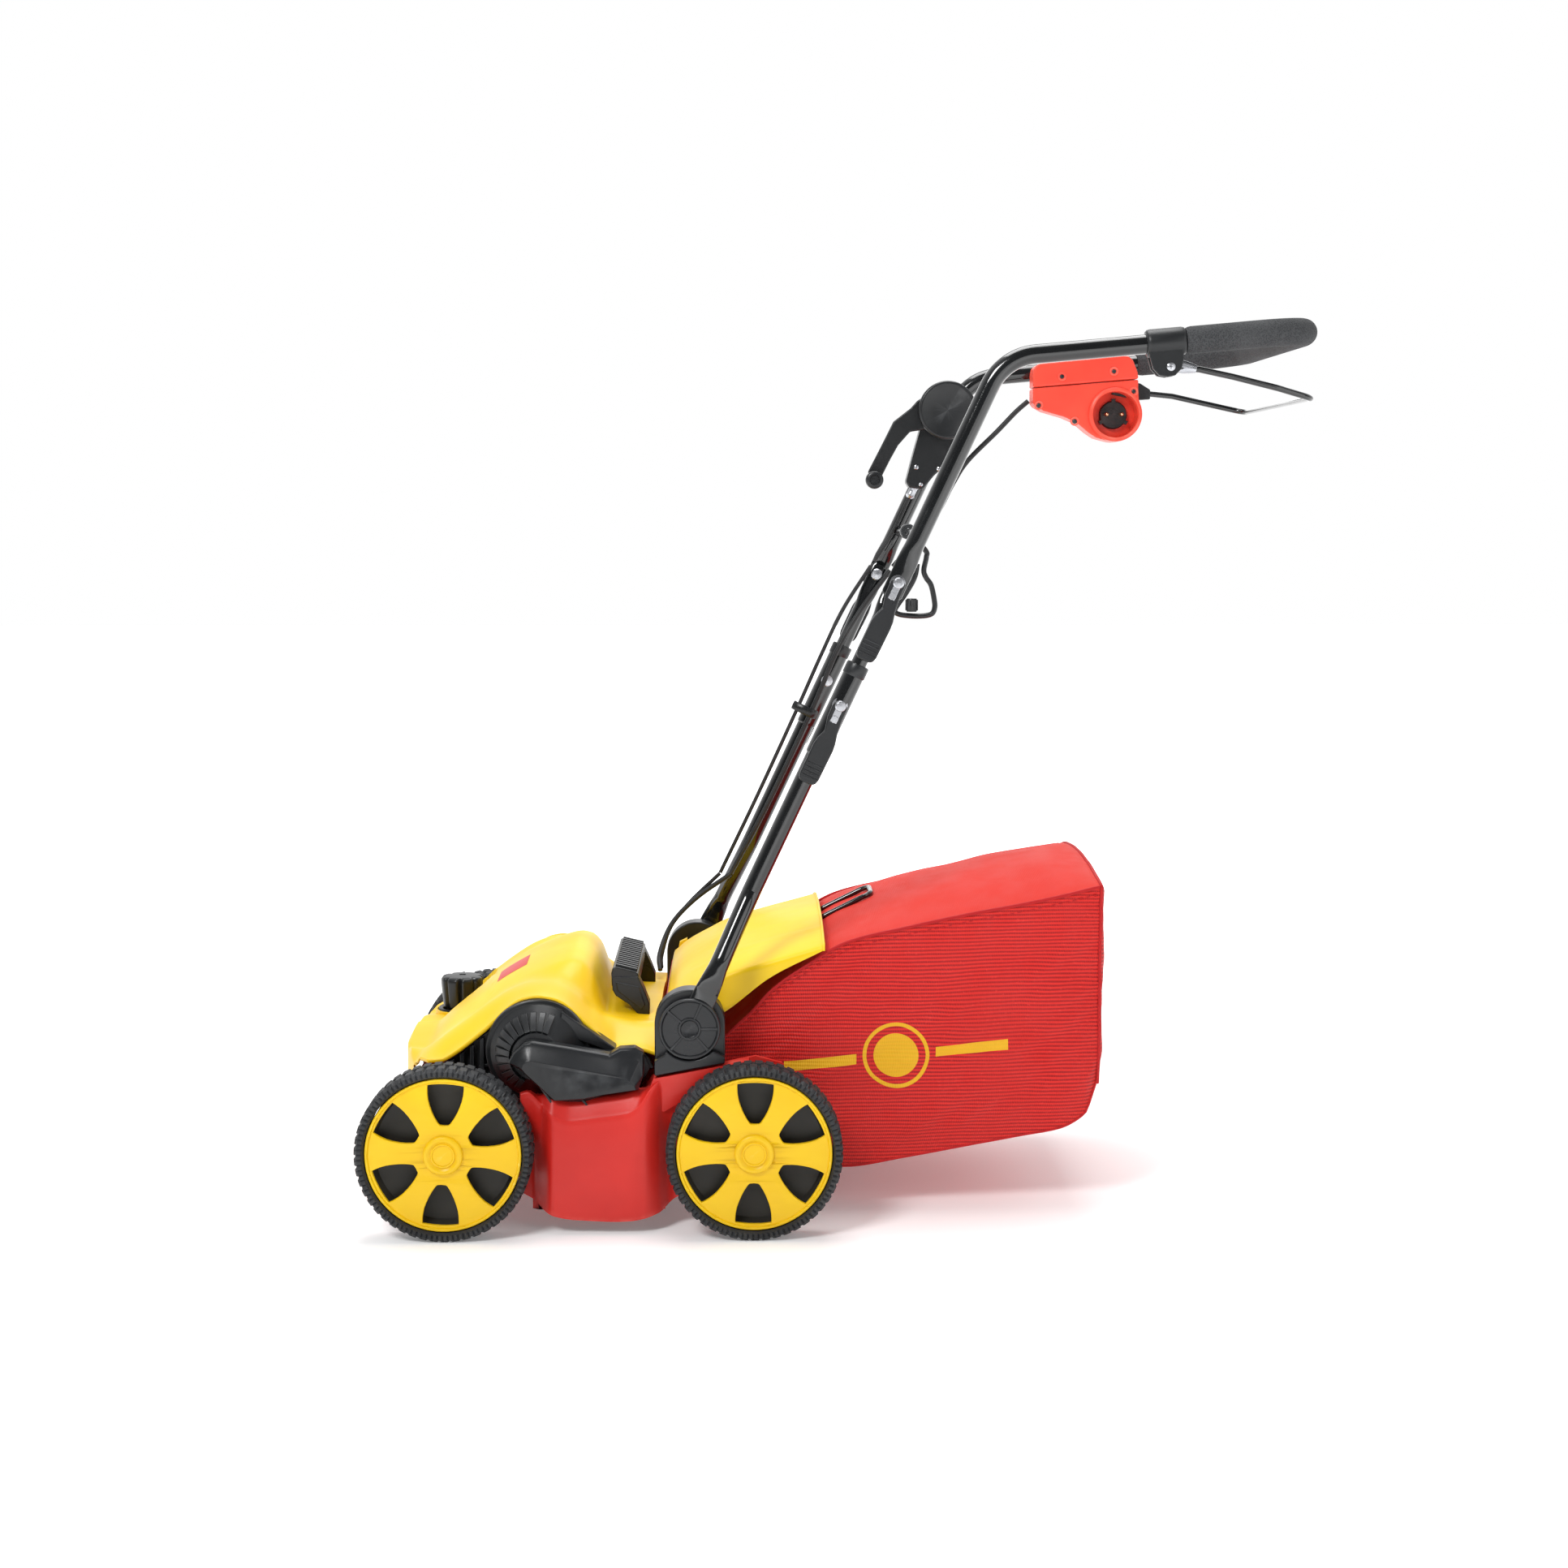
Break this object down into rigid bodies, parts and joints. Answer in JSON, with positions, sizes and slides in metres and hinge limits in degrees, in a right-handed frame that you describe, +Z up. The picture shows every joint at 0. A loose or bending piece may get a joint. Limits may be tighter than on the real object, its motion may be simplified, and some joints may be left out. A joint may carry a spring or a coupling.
{
  "type": "walk-behind lawn scarifier",
  "caption": "Electric walk-behind lawn scarifier: yellow hood on a red housing, spoked wheels, folding black U handle with switch bail, rear flap and red mesh catch bag.",
  "frame": {"origin": "on the ground under the middle of the object's box", "axes": "+X to the rear, towards the handle's grip; +Y to the operator's right when standing behind it; +Z up; wheels roll about Y"},
  "size_m": [1.0909, 0.593, 1.0317],
  "materials": {
    "bag_red": "ribbed mesh",
    "black_plastic": "satin moulded",
    "cable_black": "smooth sheath",
    "cast": "cast",
    "foam": "matt foam",
    "gloss_black": "gloss powder coat",
    "orange_red": "semi-gloss moulded",
    "red": "semi-gloss moulded",
    "steel": "zinc plated",
    "tyre": "ribbed",
    "yellow": "semi-gloss moulded"
  },
  "bodies": {
    "root": {"deck": "red", "hood": "yellow", "motor_cover": "black_plastic", "vent_panel": "black_plastic", "belt_cover": "black_plastic", "motor_body": "cast", "carry_handle": "black_plastic", "knob_socket": "black_plastic", "pivot_housing_left": "black_plastic", "pivot_housing_right": "black_plastic", "rear_axle": "steel", "rotor_bearing_left": "steel", "rotor_bearing_right": "steel", "drive_belt": "cable_black", "flap_pin": "steel", "cables_slack": "cable_black"},
    "rotor": {"rotor_shaft": "steel", "rotor_blades": "steel", "rotor_pulley": "steel"},
    "motor_rotor": {"motor_shaft": "steel"},
    "depth_knob": {"depth_knob": "black_plastic"},
    "front_axle": {"front_axle": "steel"},
    "wheel_front_left": {"tyre_front_left": "tyre", "rim_front_left": "black_plastic", "cover_front_left": "yellow"},
    "wheel_front_right": {"tyre_front_right": "tyre", "rim_front_right": "black_plastic", "cover_front_right": "yellow"},
    "wheel_rear_left": {"tyre_rear_left": "tyre", "rim_rear_left": "black_plastic", "cover_rear_left": "yellow"},
    "wheel_rear_right": {"tyre_rear_right": "tyre", "rim_rear_right": "black_plastic", "cover_rear_right": "yellow"},
    "rear_flap": {"rear_flap": "yellow"},
    "bag": {"bag_fabric": "bag_red", "bag_frame": "gloss_black"},
    "handle_lower": {"lower_tube_left": "gloss_black", "lower_tube_right": "gloss_black", "pivot_cap_left": "black_plastic", "pivot_cap_right": "black_plastic", "cables_lower": "cable_black"},
    "handle_middle": {"middle_tube_left": "gloss_black", "middle_tube_right": "gloss_black"},
    "handle_upper": {"upper_handle": "gloss_black", "foam_grip": "foam", "bail_bracket": "black_plastic", "switch_box": "orange_red", "switch_box_cover": "orange_red", "plug_inlet": "black_plastic", "lever_box": "black_plastic", "cables_upper": "cable_black"},
    "bail": {"bail": "gloss_black"},
    "switch_button": {"switch_button": "black_plastic"},
    "depth_lever": {"depth_lever": "black_plastic"},
    "cable_hook": {"cable_hook": "black_plastic"},
    "clamp_lever_lower_left": {"clamp_lever_lower_left": "black_plastic"},
    "clamp_lever_lower_right": {"clamp_lever_lower_right": "black_plastic"},
    "clamp_lever_upper_left": {"clamp_lever_upper_left": "black_plastic"},
    "clamp_lever_upper_right": {"clamp_lever_upper_right": "black_plastic"}
  },
  "joints": [
    {"name": "spin_front_left", "type": "hinge", "parent": "front_axle", "child": "wheel_front_left", "pos_m": [-0.446, -0.273, 0.0995], "axis": [0, 1, 0], "continuous": true},
    {"name": "spin_front_right", "type": "hinge", "parent": "front_axle", "child": "wheel_front_right", "pos_m": [-0.446, 0.273, 0.0995], "axis": [0, 1, 0], "continuous": true},
    {"name": "spin_rear_left", "type": "hinge", "parent": "root", "child": "wheel_rear_left", "pos_m": [-0.098, -0.273, 0.0995], "axis": [0, 1, 0], "continuous": true},
    {"name": "spin_rear_right", "type": "hinge", "parent": "root", "child": "wheel_rear_right", "pos_m": [-0.098, 0.273, 0.0995], "axis": [0, 1, 0], "continuous": true},
    {"name": "rotor_spin", "type": "hinge", "parent": "root", "child": "rotor", "pos_m": [-0.245, 0, 0.066], "axis": [0, 1, 0], "continuous": true},
    {"name": "motor_spin", "type": "hinge", "parent": "root", "child": "motor_rotor", "pos_m": [-0.346, -0.2, 0.199], "axis": [0, 1, 0], "continuous": true},
    {"name": "axle_swing", "type": "hinge", "parent": "root", "child": "front_axle", "pos_m": [-0.385, 0, 0.0995], "axis": [0, 1, 0], "range_deg": [0, 18]},
    {"name": "knob_turn", "type": "hinge", "parent": "root", "child": "depth_knob", "pos_m": [-0.468, 0.09, 0.215], "axis": [0, 0, 1], "range_deg": [0, 300]},
    {"name": "flap_lift", "type": "hinge", "parent": "root", "child": "rear_flap", "pos_m": [-0.19, 0, 0.243], "axis": [0, 1, 0], "range_deg": [-27, 0], "stiffness_Nm_per_rad": 0.4, "springref_deg": 20.05},
    {"name": "bag_pull", "type": "slide", "parent": "root", "child": "bag", "axis": [1, 0, 0], "range_m": [0, 0.45]},
    {"name": "handle_fold", "type": "hinge", "parent": "root", "child": "handle_lower", "pos_m": [-0.171, 0, 0.233], "axis": [0, 1, 0], "range_deg": [-80, 0]},
    {"name": "handle_height", "type": "slide", "parent": "handle_lower", "child": "handle_middle", "axis": [0.4242, 0, 0.9056], "range_m": [0, 0.05]},
    {"name": "upper_fold", "type": "hinge", "parent": "handle_middle", "child": "handle_upper", "pos_m": [0.06401, 0, 0.73469], "axis": [0, 1, 0], "range_deg": [-120, 0]},
    {"name": "bail_squeeze", "type": "hinge", "parent": "handle_upper", "child": "bail", "pos_m": [0.367, 0, 0.974], "axis": [0, 1, 0], "range_deg": [-17, 0], "stiffness_Nm_per_rad": 0.5, "springref_deg": 17.19},
    {"name": "button_press", "type": "slide", "parent": "handle_upper", "child": "switch_button", "axis": [0, -1, 0], "range_m": [0, 0.004], "stiffness_N_per_m": 300, "springref_m": -0.002},
    {"name": "lever_turn", "type": "hinge", "parent": "handle_upper", "child": "depth_lever", "pos_m": [0.15, 0.154, 0.943], "axis": [0, 1, 0], "range_deg": [0, 90]},
    {"name": "hook_slide", "type": "slide", "parent": "handle_upper", "child": "cable_hook", "axis": [0, 1, 0], "range_m": [-0.14, 0.14]},
    {"name": "clamp_lower_left", "type": "hinge", "parent": "handle_lower", "child": "clamp_lever_lower_left", "pos_m": [-0.00047, -0.226, 0.59704], "axis": [-0.9056, 0, 0.4242], "range_deg": [0, 100]},
    {"name": "clamp_lower_right", "type": "hinge", "parent": "handle_lower", "child": "clamp_lever_lower_right", "pos_m": [-0.00047, 0.226, 0.59704], "axis": [0.9056, 0, -0.4242], "range_deg": [0, 100]},
    {"name": "clamp_upper_left", "type": "hinge", "parent": "handle_middle", "child": "clamp_lever_upper_left", "pos_m": [0.06401, -0.226, 0.73469], "axis": [-0.9056, 0, 0.4242], "range_deg": [0, 100]},
    {"name": "clamp_upper_right", "type": "hinge", "parent": "handle_middle", "child": "clamp_lever_upper_right", "pos_m": [0.06401, 0.226, 0.73469], "axis": [0.9056, 0, -0.4242], "range_deg": [0, 100]}
  ],
  "couplings": [
    {"joint": "motor_spin", "follows": "rotor_spin", "ratio": 2.2222},
    {"joint": "lever_turn", "follows": "axle_swing", "ratio": 5}
  ]
}
